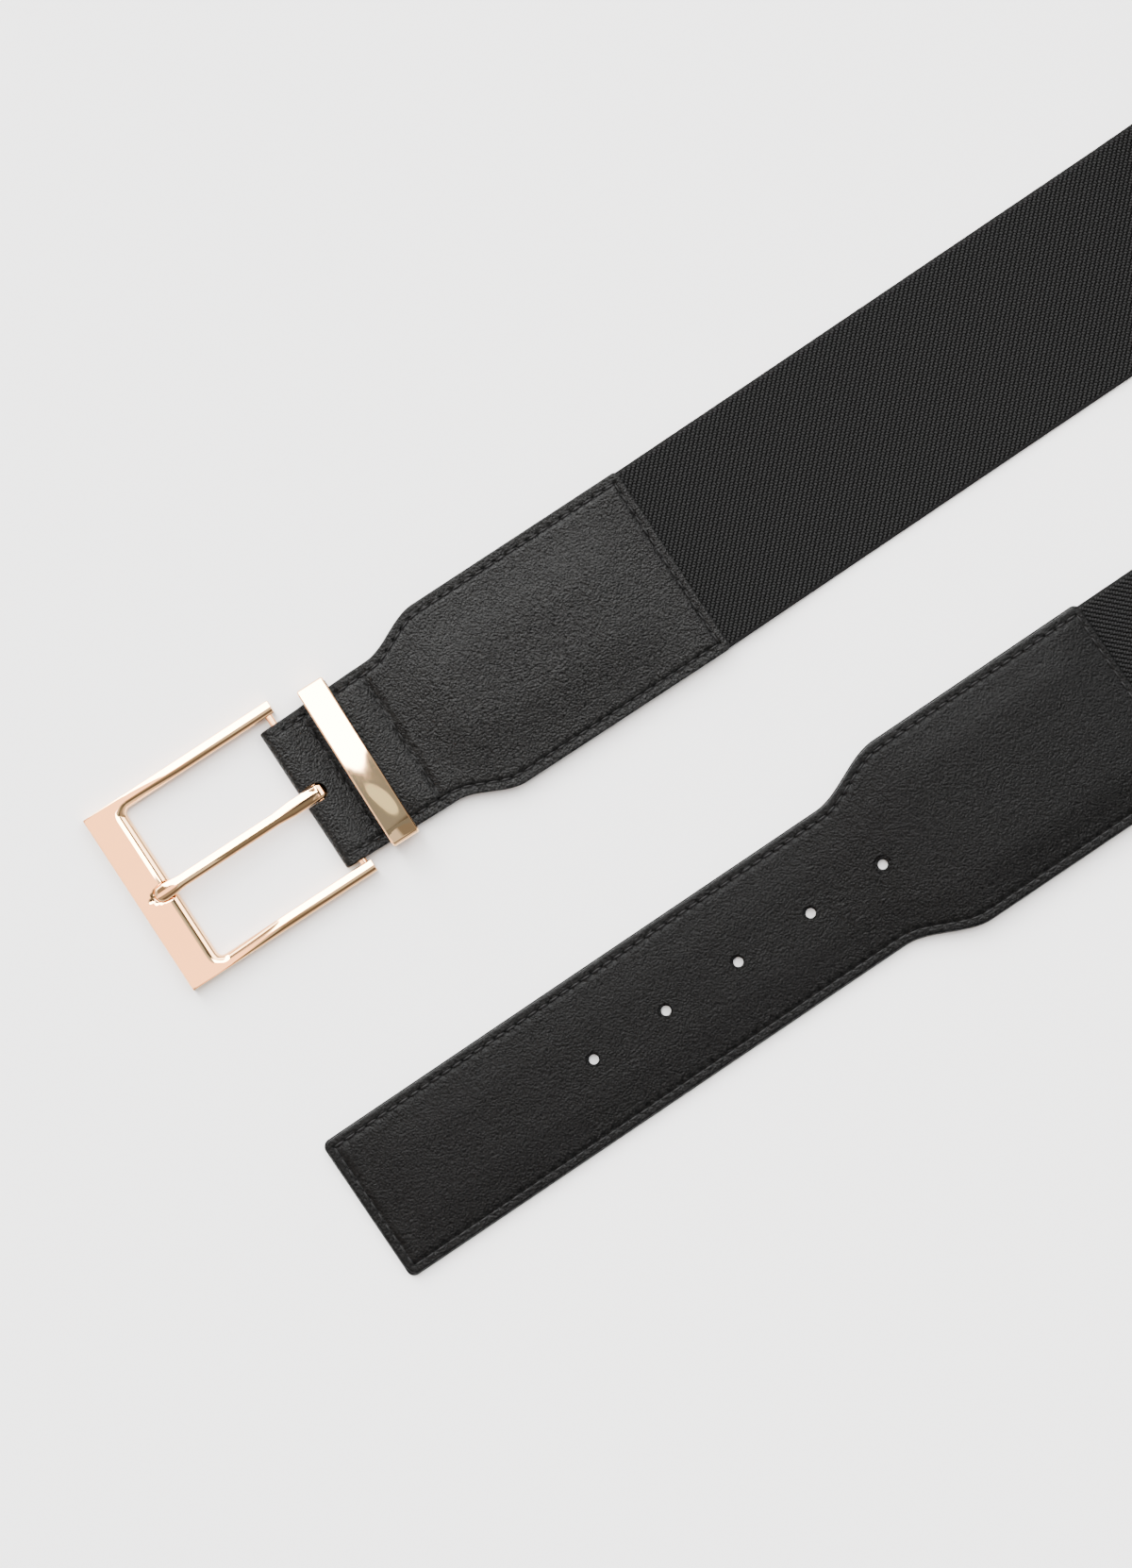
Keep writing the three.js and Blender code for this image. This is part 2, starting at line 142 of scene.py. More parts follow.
def mesh_object(name, points, faces, material, uv=None, weld=1e-4, sharp=40):
    mesh = bpy.data.meshes.new(name)
    mesh.from_pydata([tuple(p) for p in np.asarray(points) * MM], [], faces)
    if uv is not None:
        layer = mesh.uv_layers.new(name="strap")
        loops = np.empty(len(mesh.loops), np.int32)
        mesh.loops.foreach_get("vertex_index", loops)
        layer.data.foreach_set("uv", np.asarray(uv, np.float32)[loops].ravel())
    obj = bpy.data.objects.new(name, mesh)
    bpy.context.scene.collection.objects.link(obj)
    edit = bmesh.new()
    edit.from_mesh(mesh)
    if weld:
        bmesh.ops.remove_doubles(edit, verts=edit.verts, dist=weld * MM)
        bmesh.ops.dissolve_degenerate(edit, edges=edit.edges, dist=weld * MM * 0.1)
    bmesh.ops.recalc_face_normals(edit, faces=edit.faces)
    edit.to_mesh(mesh)
    edit.free()
    mesh.shade_smooth()
    mesh.set_sharp_from_angle(angle=math.radians(sharp))
    mesh.materials.append(material)
    return obj


def arc(start, end, count):
    """(cosine, sine) at evenly spaced angles from one to another, in degrees."""
    angles = [math.radians(a) for a in np.linspace(start, end, count)]
    return [(math.cos(a), math.sin(a)) for a in angles]


def grid_faces(rows, columns, start=0, flip=False, around=False):
    """Faces between neighbours in a grid of points, closed from its last column to its first if around."""
    steps = columns if around else columns - 1
    i, j = np.meshgrid(np.arange(rows - 1), np.arange(steps), indexing="ij")
    a = start + i * columns + j
    b = start + i * columns + (j + 1) % columns
    quads = np.stack([a, b, b + columns, a + columns], -1).reshape(-1, 4)
    return (quads[:, ::-1] if flip else quads).tolist()


def shell(name, outer, inner, material, uv=None, **kw):
    """A closed sheet between two grids of points that meet all round their edge."""
    rows, columns = outer.shape[:2]
    points = np.concatenate([outer.reshape(-1, 3), inner.reshape(-1, 3)])
    faces = grid_faces(rows, columns) + grid_faces(rows, columns, rows * columns, flip=True)
    both = None if uv is None else np.concatenate([uv.reshape(-1, 2)] * 2)
    return mesh_object(name, points, faces, material, uv=both, **kw)


def loft(name, rings, material, **kw):
    """A closed skin over rings of points, with its two ends filled."""
    rings = np.asarray(rings, float)
    rows, columns = rings.shape[:2]
    faces = grid_faces(rows, columns, around=True)
    faces.append(list(range(columns))[::-1])
    faces.append(list(range((rows - 1) * columns, rows * columns)))
    return mesh_object(name, rings.reshape(-1, 3), faces, material, **kw)


def cut(obj, cutters):
    """Cuts closed cutter objects out of obj and removes them."""
    bpy.context.view_layer.objects.active = obj
    for cutter in cutters:
        modifier = obj.modifiers.new("cut", "BOOLEAN")
        modifier.operation = "DIFFERENCE"
        modifier.solver = "EXACT"
        modifier.object = cutter
        bpy.ops.object.modifier_apply(modifier=modifier.name)
    for cutter in cutters:
        bpy.data.objects.remove(cutter, do_unlink=True)
    obj.data.set_sharp_from_angle(angle=math.radians(40))


# Materials


def new_material(name):
    material = bpy.data.materials.new(name)
    material.use_nodes = True
    return material, material.node_tree, material.node_tree.nodes["Principled BSDF"]


def node(tree, kind, **values):
    made = tree.nodes.new(kind)
    for key, value in values.items():
        if key in made.inputs:
            made.inputs[key].default_value = value
        else:
            setattr(made, key, value)
    return made


def maths(tree, operation, a, b=None, c=None):
    made = tree.nodes.new("ShaderNodeMath")
    made.operation = operation
    for i, value in enumerate((a, b, c)):
        if value is None:
            continue
        if isinstance(value, (int, float)):
            made.inputs[i].default_value = value
        else:
            tree.links.new(value, made.inputs[i])
    return made.outputs[0]


def bumped(tree, shader, height, distance, strength=1.0):
    bump = node(tree, "ShaderNodeBump", Strength=strength, Distance=distance)
    tree.links.new(height, bump.inputs["Height"])
    tree.links.new(bump.outputs["Normal"], shader.inputs["Normal"])


def colour_between(tree, factor, dark, light):
    ramp = tree.nodes.new("ShaderNodeValToRGB")
    ramp.color_ramp.elements[0].color = (*dark, 1)
    ramp.color_ramp.elements[1].color = (*light, 1)
    tree.links.new(factor, ramp.inputs["Fac"])
    return ramp


# Height of the weave at which its yarn is painted lightest, a painted highlight on the yarn tops with
# painted shade below it, and the length of one repeat of the twill
WEAVE_TOP = 1.25 / 1.3
TWILL = 1.76


def leather_material(name, dark, light, roughness, relief, gloss):
    """Grained leather: small pebbles, finer pores and a few soft wrinkles."""
    material, tree, shader = new_material(name)
    where = tree.nodes.new("ShaderNodeTexCoord").outputs["Object"]
    warp = node(tree, "ShaderNodeTexNoise", Scale=260, Detail=2)
    tree.links.new(where, warp.inputs["Vector"])
    shifted = node(tree, "ShaderNodeVectorMath", operation="MULTIPLY_ADD")
    tree.links.new(warp.outputs["Color"], shifted.inputs[0])
    shifted.inputs[1].default_value = (0.0012, 0.0012, 0.0012)
    tree.links.new(where, shifted.inputs[2])
    pebbles = node(tree, "ShaderNodeTexVoronoi", Scale=1500, feature="SMOOTH_F1", Smoothness=0.4)
    tree.links.new(shifted.outputs[0], pebbles.inputs["Vector"])
    pores = node(tree, "ShaderNodeTexNoise", Scale=1900, Detail=2, Roughness=0.5, Distortion=0.4)
    tree.links.new(where, pores.inputs["Vector"])
    folds = node(tree, "ShaderNodeTexNoise", Scale=90, Detail=4, Roughness=0.55, Distortion=0.6)
    tree.links.new(where, folds.inputs["Vector"])
    height = maths(tree, "MULTIPLY", pebbles.outputs["Distance"], -1.3)
    height = maths(tree, "MULTIPLY_ADD", pores.outputs["Fac"], 1.2, height)
    height = maths(tree, "MULTIPLY_ADD", folds.outputs["Fac"], 0.9, height)
    bumped(tree, shader, height, relief)
    # the colour follows the pore noise that also raises the surface: painted shade darkens the grain's low
    # places, and a painted highlight lightens its raised tops
    ramp = colour_between(tree, pores.outputs["Fac"], dark, light)
    ramp.color_ramp.elements[0].position = 0.36
    ramp.color_ramp.elements[1].position = 0.66
    tree.links.new(ramp.outputs["Color"], shader.inputs["Base Color"])
    rough = maths(tree, "MULTIPLY_ADD", folds.outputs["Fac"], 0.14, roughness - 0.07)
    tree.links.new(rough, shader.inputs["Roughness"])
    shader.inputs["Specular IOR Level"].default_value = gloss
    return material


def gold_material():
    """Polished rose gold plating, very slightly uneven."""
    material, tree, shader = new_material("rose_gold")
    where = tree.nodes.new("ShaderNodeTexCoord").outputs["Object"]
    waves = node(tree, "ShaderNodeTexNoise", Scale=75, Detail=1)
    tree.links.new(where, waves.inputs["Vector"])
    specks = node(tree, "ShaderNodeTexNoise", Scale=900, Detail=2)
    tree.links.new(where, specks.inputs["Vector"])
    bumped(tree, shader, waves.outputs["Fac"], 0.000006)
    tone = colour_between(tree, waves.outputs["Fac"], (0.97, 0.56, 0.27), (0.98, 0.58, 0.29))
    tree.links.new(tone.outputs["Color"], shader.inputs["Base Color"])
    rough = maths(tree, "MULTIPLY_ADD", specks.outputs["Fac"], 0.012, 0.008)
    tree.links.new(rough, shader.inputs["Roughness"])
    shader.inputs["Metallic"].default_value = 1.0
    return material


def webbing_material():
    """Woven elastic: a three-end twill, set in millimetres along and across the strap."""
    material, tree, shader = new_material("elastic_twill")
    strap = node(tree, "ShaderNodeUVMap", uv_map="strap").outputs["UV"]
    warp = node(tree, "ShaderNodeTexNoise", Scale=0.35, Detail=2)
    tree.links.new(strap, warp.inputs["Vector"])
    split = tree.nodes.new("ShaderNodeSeparateXYZ")
    tree.links.new(strap, split.inputs[0])
    wobble = maths(tree, "MULTIPLY", warp.outputs["Fac"], 0.5)
    along = maths(tree, "ADD", split.outputs["X"], wobble)
    across = maths(tree, "ADD", split.outputs["Y"], wobble)
    cell = 2 * math.pi / TWILL

    def wave(a, b, amount, total):
        phase = maths(tree, "MULTIPLY", across, b * cell)
        phase = maths(tree, "MULTIPLY_ADD", along, a * cell, phase)
        return maths(tree, "MULTIPLY_ADD", maths(tree, "COSINE", phase), amount, total)

    height = wave(1, -1, 0.5, 0.5)
    height = wave(2, 1, 0.3, height)
    height = wave(1, 2, 0.26, height)
    height = wave(1, -2, 0.16, height)
    fuzz = node(tree, "ShaderNodeTexNoise", Scale=5.5, Detail=3, Roughness=0.7)
    tree.links.new(strap, fuzz.inputs["Vector"])
    height = maths(tree, "MULTIPLY_ADD", fuzz.outputs["Fac"], 0.7, height)
    edge = maths(tree, "SUBTRACT", ELASTIC_WIDTH / 2, maths(tree, "ABSOLUTE", split.outputs["Y"]))
    woven = node(tree, "ShaderNodeMapRange", interpolation_type="SMOOTHSTEP")
    tree.links.new(edge, woven.inputs["Value"])
    woven.inputs["From Min"].default_value = 0.5
    woven.inputs["From Max"].default_value = 1.3
    woven = woven.outputs["Result"]
    selvedge = maths(tree, "MULTIPLY_ADD", woven, -0.62, 0.62)
    body = maths(tree, "MULTIPLY_ADD", height, woven, selvedge)
    bumped(tree, shader, body, 0.00036)
    # the colour follows the weave's height: painted shade darkens the low places between the yarns, and a
    # painted highlight lightens the yarn tops
    ramp = colour_between(tree, body, (0.0002, 0.0002, 0.0002), (0.016, 0.016, 0.016))
    ramp.color_ramp.elements[0].position = 0.42
    ramp.color_ramp.elements[1].position = WEAVE_TOP
    tree.links.new(ramp.outputs["Color"], shader.inputs["Base Color"])
    shader.inputs["Roughness"].default_value = 0.78
    shader.inputs["Specular IOR Level"].default_value = 0.05
    return material


def thread_material():
    material, tree, shader = new_material("thread")
    where = tree.nodes.new("ShaderNodeTexCoord").outputs["Object"]
    fibres = node(tree, "ShaderNodeTexNoise", Scale=5200, Detail=2)
    tree.links.new(where, fibres.inputs["Vector"])
    bumped(tree, shader, fibres.outputs["Fac"], 0.00006)
    tone = colour_between(tree, fibres.outputs["Fac"], (0.002, 0.002, 0.002), (0.009, 0.009, 0.009))
    tree.links.new(tone.outputs["Color"], shader.inputs["Base Color"])
    shader.inputs["Roughness"].default_value = 0.5
    shader.inputs["Specular IOR Level"].default_value = 0.15
    return material


def floor_material():
    material, tree, shader = new_material("floor")
    shader.inputs["Base Color"].default_value = (0.83, 0.83, 0.83, 1)
    shader.inputs["Roughness"].default_value = 0.9
    shader.inputs["Specular IOR Level"].default_value = 0.1
    return material


LEATHER = leather_material(
    "leather",
    (0.0005, 0.0005, 0.0005),
    (0.01, 0.01, 0.0097),
    roughness=0.31,
    relief=0.00018,
    gloss=0.1,
)
LEATHER_BACK = leather_material(
    "leather_back",
    (0.0008, 0.0008, 0.0008),
    (0.0046, 0.0046, 0.0045),
    roughness=0.33,
    relief=0.00009,
    gloss=0.068,
)
GOLD = gold_material()
WEBBING = webbing_material()
THREAD = thread_material()
FLOOR = floor_material()


# Outlines of the leather tabs


def corner_half(half, from_end, corner):
    inward = np.clip(corner - from_end, 0, corner)
    return half - corner + np.sqrt(np.maximum(corner**2 - inward**2, 0))


def tab_half(back):
    neck = mix(TAB_NECK, TAB_NOSE, smooth(back, TAB_NECK_END, TAB))
    width = mix(TAB_WIDE, neck, smooth(back, TAB_SHOULDER_END, TAB_NECK_END))
    return corner_half(width / 2, np.maximum(back, 0), TAB_CORNER)


def tip_half(from_tip):
    half = mix(TIP_WIDTH, TIP_WIDE, smooth(from_tip, TIP_NECK, TIP_NECK + TIP_SHOULDER)) / 2
    from_end = np.minimum(from_tip, TIP - from_tip)
    return corner_half(half, np.maximum(from_end, 0), TIP_CORNER)


# Distances in from an edge at which a sheet has points: close together where the edge is rounded
EDGE_STEPS = np.array(
    [0, 0.02, 0.07, 0.16, 0.3, 0.48, 0.7, 1.0, 1.35, 1.7, 2.05, 2.4, 2.7, 3.0, 3.35, 3.8, 4.4, 5.4, 7.0]
)


def across_steps(half, inner=11):
    """Places across a sheet of that half width, from +half to -half."""
    side = half - EDGE_STEPS
    middle = np.linspace(side[-1], 0, inner)[1:]
    right = np.concatenate([side, middle])
    return np.concatenate([right, -right[-2::-1]])


def grid_over(places, half_at):
    """Grids of places along and across a sheet, and how far in from its sides each point is."""
    rows = [across_steps(float(half_at(p))) for p in places]
    y = np.array(rows)
    x = np.repeat(np.asarray(places, float)[:, None], y.shape[1], 1)
    half = half_at(x)
    return x, y, half - np.abs(y)


def end_distance(side, end, corner):
    """Distance in from the outline where a side and an end meet in a round corner."""
    a = np.maximum(corner - side, 0)
    b = np.maximum(corner - end, 0)
    both = (a > 0) & (b > 0)
    return np.where(both, corner - np.hypot(a, b), np.minimum(side, end))


EDGE_ROUND = 0.62


def rounding(distance, radius):
    """1 away from the edge, falling to 0 on it as a round edge does."""
    t = np.clip(distance / radius, 0, 1)
    return np.sqrt(np.maximum(1 - (1 - t) ** 2, 0))


def seam_groove(inset):
    """Depth of the groove that a seam presses into an underside."""
    return 0.42 * np.exp(-((inset / 0.6) ** 2))


# Stitches

STITCH = 3.68

# Heights of the stitches: over the leather they lie on, and over the underside's lowest face
OVER_FACE = 0.05
OVER_UNDERSIDE = 0.45


def seam_points(path, pitch=STITCH):
    """Evenly spaced points on a path, a whole number of stitches long."""
    path = np.asarray(path, float)
    run = np.concatenate([[0], np.cumsum(np.linalg.norm(np.diff(path, axis=0), axis=1))])
    count = max(2, round(run[-1] / pitch) + 1)
    at = np.linspace(0, run[-1], count)
    return np.stack([np.interp(at, run, path[:, 0]), np.interp(at, run, path[:, 1])], 1)


def pits(x, y, holes, depth=0.6, radius=0.55):
    """How far the leather is drawn down near the needle holes."""
    drawn = np.zeros(x.shape)
    for hx, hy in holes:
        near = np.abs(x[:, 0] - hx) < 3 * radius
        r2 = (x[near] - hx) ** 2 + (y[near] - hy) ** 2
        drawn[near] = np.maximum(drawn[near], depth * np.exp(-r2 / radius**2))
    return drawn


def stitch_rings(start, end, up):
    """Rings of one stitch between two points on the leather."""
    along = (end - start) / np.linalg.norm(end - start)
    across = np.cross(up, along)
    shares = np.array([0.04, 0.1, 0.2, 0.36, 0.5, 0.64, 0.8, 0.9, 0.96])
    lifts = np.array([-0.5, -0.2, 0.04, 0.16, 0.2, 0.16, 0.04, -0.2, -0.5])
    radii = np.array([0.1, 0.19, 0.25, 0.29, 0.3, 0.29, 0.25, 0.19, 0.1])
    angles = np.linspace(0, 2 * math.pi, 8, endpoint=False)
    rings = []
    for share, lift, radius in zip(shares, lifts, radii):
        middle = mix(start, end, share) + lift * up
        rings.append(
            [middle + radius * (math.cos(a) * across + 0.8 * math.sin(a) * up) for a in angles]
        )
    return np.array(rings)


def stitch_row(name, runs):
    """One mesh of all the stitches between following points of each run of (points, up)."""
    points, faces = [], []
    for holes, up in runs:
        up = np.asarray(up, float)
        for a, b in zip(holes[:-1], holes[1:]):
            rings = stitch_rings(a, b, up)
            start = len(points)
            rows, columns = rings.shape[:2]
            points.extend(rings.reshape(-1, 3))
            faces.extend(grid_faces(rows, columns, start, around=True))
            faces.append([start + i for i in range(columns)][::-1])
            last = start + (rows - 1) * columns
            faces.append([last + i for i in range(columns)])
    obj = mesh_object(name, points, faces, THREAD, weld=0, sharp=80)
    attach(obj, "belt")


# Buckle tab

TAB_TOP = [
    (0, 4.6),
    (PAD_END + 2, 4.6),
    (SECOND_SEAM - 0.3, 4.0),
    (SECOND_SEAM + 0.3, 4.0),
    (SECOND_SEAM + 1.5, 4.45),
    (SECOND_SEAM + 5.0, 4.6),
    (FIRST_SEAM - 4.5, 4.6),
    (FIRST_SEAM - 1.4, 4.4),
    (FIRST_SEAM - 0.3, 3.75),
    (FIRST_SEAM + 0.3, 3.75),
    (BAR_BACK, 5.4),
]
TAB_UNDER = [
    (0, 3.3),
    (PAD_END + 2, 3.3),
    (SECOND_SEAM - 0.3, 2.6),
    (SECOND_SEAM + 0.3, 2.6),
    (SECOND_SEAM + 1.5, 3.1),
    (FIRST_SEAM - 1.5, 3.1),
    (FIRST_SEAM - 0.3, 2.35),
    (FIRST_SEAM + 0.3, 2.35),
    (BAR_BACK, 4.1),
]
# How far in from the edges the seams run, and the fold's radius at the middle of the ply
SIDE_SEAM = 2.9
END_SEAM = 2.3
FOLD_RADIUS = 2.05
tab_places = np.arange(END_SEAM, 124.0, 0.5)
tab_side_line = np.stack([tab_places, tab_half(tab_places) - SIDE_SEAM], 1)
tab_side_holes = seam_points(tab_side_line)
tab_end_half = float(tab_half(np.array(END_SEAM))) - SIDE_SEAM
tab_end_holes = seam_points([(END_SEAM, tab_end_half), (END_SEAM, -tab_end_half)])


def cross_holes(back):
    half = float(tab_half(np.array(back))) - SIDE_SEAM
    return seam_points([(back, half), (back, -half)])


first_holes = cross_holes(FIRST_SEAM)
second_holes = cross_holes(SECOND_SEAM)
mirror = np.array([1, -1])
tab_holes = np.concatenate(
    [tab_side_holes, tab_side_holes * mirror, tab_end_holes, first_holes, second_holes]
)


def tab_surface(back, y):
    """Height of the buckle tab's face."""
    side = tab_half(back) - np.abs(y) - SIDE_SEAM
    end = back - END_SEAM
    inset = np.minimum(side, np.where(back < 20, end, 99))
    flat = smooth(back, PAD_END + 2, SECOND_SEAM) * (1 - smooth(back, SECOND_SEAM, SECOND_SEAM + 2))
    flat = np.maximum(flat, smooth(back, FIRST_SEAM - 2, FIRST_SEAM))
    z = levels(back, TAB_TOP)
    z = z - 0.42 * (1 - smooth(inset, 0.0, 1.3)) * (1 - 0.75 * flat)
    z = z - 0.08 * np.exp(-((inset / 0.5) ** 2))
    crown = smooth(side, 0.4, 20) * smooth(end, 0.6, 24) * (1 - smooth(back, PAD_END - 14, SECOND_SEAM - 1))
    pocket = smooth(back, SECOND_SEAM + 1, SECOND_SEAM + 8)
    pocket = pocket * (1 - smooth(back, FIRST_SEAM - 8, FIRST_SEAM - 1))
    return z + 1.5 * crown + 0.4 * smooth(side, 0.3, 6) * pocket


def build_tab_front():
    near = EDGE_STEPS[EDGE_STEPS < 5]
    upper = np.unique(np.round(np.concatenate([near, np.arange(5, BAR_BACK, 0.5), [BAR_BACK]]), 3))
    x, y, side = grid_over(upper, tab_half)
    top = tab_surface(x, y) - pits(x, y, tab_holes)
    under = levels(x, TAB_UNDER)
    edge = rounding(end_distance(side, x, TAB_CORNER), EDGE_ROUND)
    middle, thick = (top + under) / 2, (top - under) / 2
    outer = [np.stack([-x, y, middle + thick * edge], -1)]
    inner = [np.stack([-x, y, middle - thick * edge], -1)]
    # round the bar
    half_ply = PLY / 2
    angles = np.linspace(90, 270, 29)[1:]
    centre = -TAB + BAR_HEIGHT
    back = np.abs(centre + BAR_HEIGHT * np.cos(np.radians(angles)))
    _, y, side = grid_over(back, tab_half)
    edge = rounding(side, EDGE_ROUND)
    c = np.cos(np.radians(angles))[:, None]
    s = np.sin(np.radians(angles))[:, None]
    rim = 0.2 * (1 - smooth(side - SIDE_SEAM, -0.3, 1.5))
    rim = rim * (1 - smooth(angles, 90, 150))[:, None]
    for grids, radius in (
        (outer, FOLD_RADIUS + half_ply * edge - rim),
        (inner, FOLD_RADIUS - half_ply * edge),
    ):
        grids.append(np.stack([centre + radius * c, y, BAR_HEIGHT + radius * s], -1))
    # fold back under
    fold = np.concatenate([np.arange(BAR_BACK, FOLD_END + 2, -1.0), FOLD_END + near[near < 2][::-1]])
    x, y, side = grid_over(fold, tab_half)
    edge = rounding(np.minimum(side, x - FOLD_END), EDGE_ROUND)
    outer.append(np.stack([-x, y, half_ply - half_ply * edge], -1))
    inner.append(np.stack([-x, y, half_ply + half_ply * edge], -1))
    outer, inner = np.concatenate(outer), np.concatenate(inner)
    obj = shell("tab_front_leather", at_buckle_end(outer), at_buckle_end(inner), LEATHER)
    cut(obj, [slot_cutter()])
    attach(obj, "belt")
    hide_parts("buckle_tab_front")


def slot_cutter():
    """The prong's slot: round-ended in plan, a little wider at the face."""
    rings = []
    half, reach = 2.55, 7.75
    # height, and how far the slot widens there
    flare = [(-1, 0.3), (0.1, 0.3), (0.5, 0), (4.6, 0), (5.0, 0.06), (5.3, 0.2), (5.6, 0.5), (7, 1.5)]
    for z, grow in flare:
        r = half + grow
        end = -TAB + reach - half
        arc = np.radians(np.linspace(-90, 90, 25))
        ring = [(end + r * math.cos(a), r * math.sin(a), z) for a in arc]
        ring += [(-TAB - 4, r, z), (-TAB - 4, -r, z)]
        rings.append(ring)
    return loft("slot_cutter", at_buckle_end(rings), LEATHER, weld=0)


def build_tab_back():
    near = EDGE_STEPS[EDGE_STEPS < 5]
    end = FOLD_END - GAP
    places = np.concatenate([near, np.arange(5, end - 5, 0.7), end - near[::-1]])
    x, y, side = grid_over(places, tab_half)
    edge = rounding(np.minimum(end_distance(side, x, TAB_CORNER), end - x), 0.6)
    inset = np.minimum(side - SIDE_SEAM, np.where(x < 20, x - END_SEAM, 99))
    groove = seam_groove(inset)
    z = BACK_PLY / 2
    outer = np.stack([-x, y, z + z * edge], -1)
    inner = np.stack([-x, y, z - (z - groove) * edge], -1)
    obj = shell("tab_back_leather", at_buckle_end(outer), at_buckle_end(inner), LEATHER_BACK)
    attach(obj, "belt")
    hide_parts("buckle_tab_back")


def build_tab_stitches():
    def on_face(holes):
        z = tab_surface(holes[:, 0], holes[:, 1]) + OVER_FACE
        return at_buckle_end(np.stack([-holes[:, 0], holes[:, 1], z], 1))

    def on_back(holes):
        z = np.full(len(holes), OVER_UNDERSIDE)
        return at_buckle_end(np.stack([-holes[:, 0], holes[:, 1], z], 1))

    up, down = (0, 0, 1), (0, 0, -1)
    mirrored = tab_side_holes * mirror
    faces = [tab_side_holes, mirrored, tab_end_holes, first_holes, second_holes]
    stitch_row("tab_face_stitches", [(on_face(h), up) for h in faces])
    behind = [h[h[:, 0] < FOLD_END - 4] for h in (tab_side_holes, mirrored)] + [tab_end_holes]
    stitch_row("tab_back_stitches", [(on_back(h), down) for h in behind])


# Tip tab

TIP_RAMP_END = TIP - ELASTIC_IN_TIP - GAP
TIP_RAMP = 48
TIP_TOP = [(0, 2.9), (TIP_RAMP_END - TIP_RAMP, 2.9), (TIP_RAMP_END, 4.7), (TIP, 4.7)]
TIP_SEAM = 2.75
MOUTH_SEAM = 2.4
tip_places = np.arange(TIP_SEAM, TIP - MOUTH_SEAM, 0.5)
tip_side_line = np.stack([tip_places, tip_half(tip_places) - TIP_SEAM], 1)
tip_side_holes = seam_points(tip_side_line)


def tip_cross(at):
    half = float(tip_half(np.array(at))) - TIP_SEAM
    return seam_points([(at, half), (at, -half)])


tip_end_holes = tip_cross(TIP_SEAM)
tip_mouth_holes = tip_cross(TIP - MOUTH_SEAM)
tip_runs = [tip_side_holes, tip_side_holes * mirror, tip_end_holes, tip_mouth_holes]
tip_holes = np.concatenate(tip_runs)


def tip_inset(x, y):
    """How far in from the nearest seam a place on the tip strap is."""
    side = tip_half(x) - np.abs(y)
    return np.minimum(side - TIP_SEAM, np.minimum(x - TIP_SEAM, TIP - MOUTH_SEAM - x))


def tip_surface(x, y):
    """Height of the upper face of the tip strap."""
    inset = tip_inset(x, y)
    z = levels(x, TIP_TOP)
    z = z - 0.12 * (1 - smooth(inset, 0.0, 1.8))
    z = z - 0.03 * np.exp(-((inset / 0.45) ** 2))
    side = tip_half(x) - np.abs(y) - TIP_SEAM
    end = np.minimum(x, TIP - x) - TIP_SEAM
    stuffed = smooth(x, TIP_RAMP_END - 10, TIP_RAMP_END + 12)
    return z + (0.34 + 0.3 * stuffed) * smooth(side, 0.3, 12) * smooth(end, 0.5, 16)


def hole_cutters():
    """Cutters for the punched holes, flared a little at each face."""
    cutters = []
    angles = np.linspace(0, 2 * math.pi, 40, endpoint=False)
    # height, how far the bore stands in from the hole's full radius, and how far the punch leant over
    bore = [
        (-1, 0.3, 0.35),
        (0, 0.4, 0.3),
        (0.12, 0.5, 0.3),
        (0.35, 0.6, 0.3),
        (1.3, 0.55, 0.25),
        (1.6, 0.25, 0.1),
        (2.6, 0.15, 0),
        (3, 0, 0),
        (5, -1.2, 0),
    ]
    for i, x in enumerate(HOLES):
        rings = []
        for z, inward, lean in bore:
            r = HOLE / 2 - inward
            rings.append([(x + lean + r * math.cos(a), r * math.sin(a) - lean, z) for a in angles])
        cutters.append(loft("hole_cutter_%d" % i, at_tip_end(rings), LEATHER, weld=0))
    return cutters


def build_tip():
    near = EDGE_STEPS[EDGE_STEPS < 5]
    places = np.concatenate([near, np.arange(5, TIP - 5, 0.62), TIP - near[::-1]])
    x, y, side = grid_over(places, tip_half)
    inset = tip_inset(x, y)
    distance = end_distance(side, np.minimum(x, TIP - x), TIP_CORNER)
    # lower ply, whose face is the belt's front
    edge = rounding(distance, EDGE_ROUND)
    groove = seam_groove(inset)
    z = PLY / 2
    outer = np.stack([x, y, z + z * edge], -1)
    inner = np.stack([x, y, z - (z - groove) * edge], -1)
    lower = shell("tip_front_leather", at_tip_end(outer), at_tip_end(inner), LEATHER)
    cut(lower, hole_cutters())
    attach(lower, "belt")
    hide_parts("tip_tab_front")
    # upper ply, set in by a little
    step = 0.4
    shrink = 1 - step / tip_half(x)
    y2 = y * shrink
    x2 = step + (TIP - 2 * step) * x / TIP
    top = tip_surface(x, y) - pits(x, y, tip_holes, depth=0.45)
    under = levels(x, TIP_TOP) - PLY - 0.22
    under = np.maximum(under, PLY + 0.05)
    middle, thick = (top + under) / 2, (top - under) / 2
    outer = np.stack([x2, y2, middle + thick * edge], -1)
    inner = np.stack([x2, y2, middle - thick * edge], -1)
    upper = shell("tip_back_leather", at_tip_end(outer), at_tip_end(inner), LEATHER_BACK)
    cut(upper, hole_cutters())
    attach(upper, "belt")
    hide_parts("tip_tab_back")


def build_tip_stitches():
    def on_face(holes):
        z = tip_surface(holes[:, 0], holes[:, 1]) + OVER_FACE
        return at_tip_end(np.stack([holes[:, 0], holes[:, 1], z], 1))

    def on_back(holes):
        z = np.full(len(holes), OVER_UNDERSIDE)
        return at_tip_end(np.stack([holes[:, 0], holes[:, 1], z], 1))

    stitch_row("tip_upper_stitches", [(on_face(h), (0, 0, 1)) for h in tip_runs])
    stitch_row("tip_lower_stitches", [(on_back(h), (0, 0, -1)) for h in tip_runs])


# Elastic

TURN_CHANGES = [
    ("heading", 0.2, 0.56, 0.55),
    ("heading", 0.36, 0.84, 0.45),
    ("roll", 0, 0.45, 0.6),
    ("roll", 0.6, 1, 0.4),
    ("lift", 0.22, 0.46, 0.3),
    ("lift", 0.46, 0.86, -0.3),
]


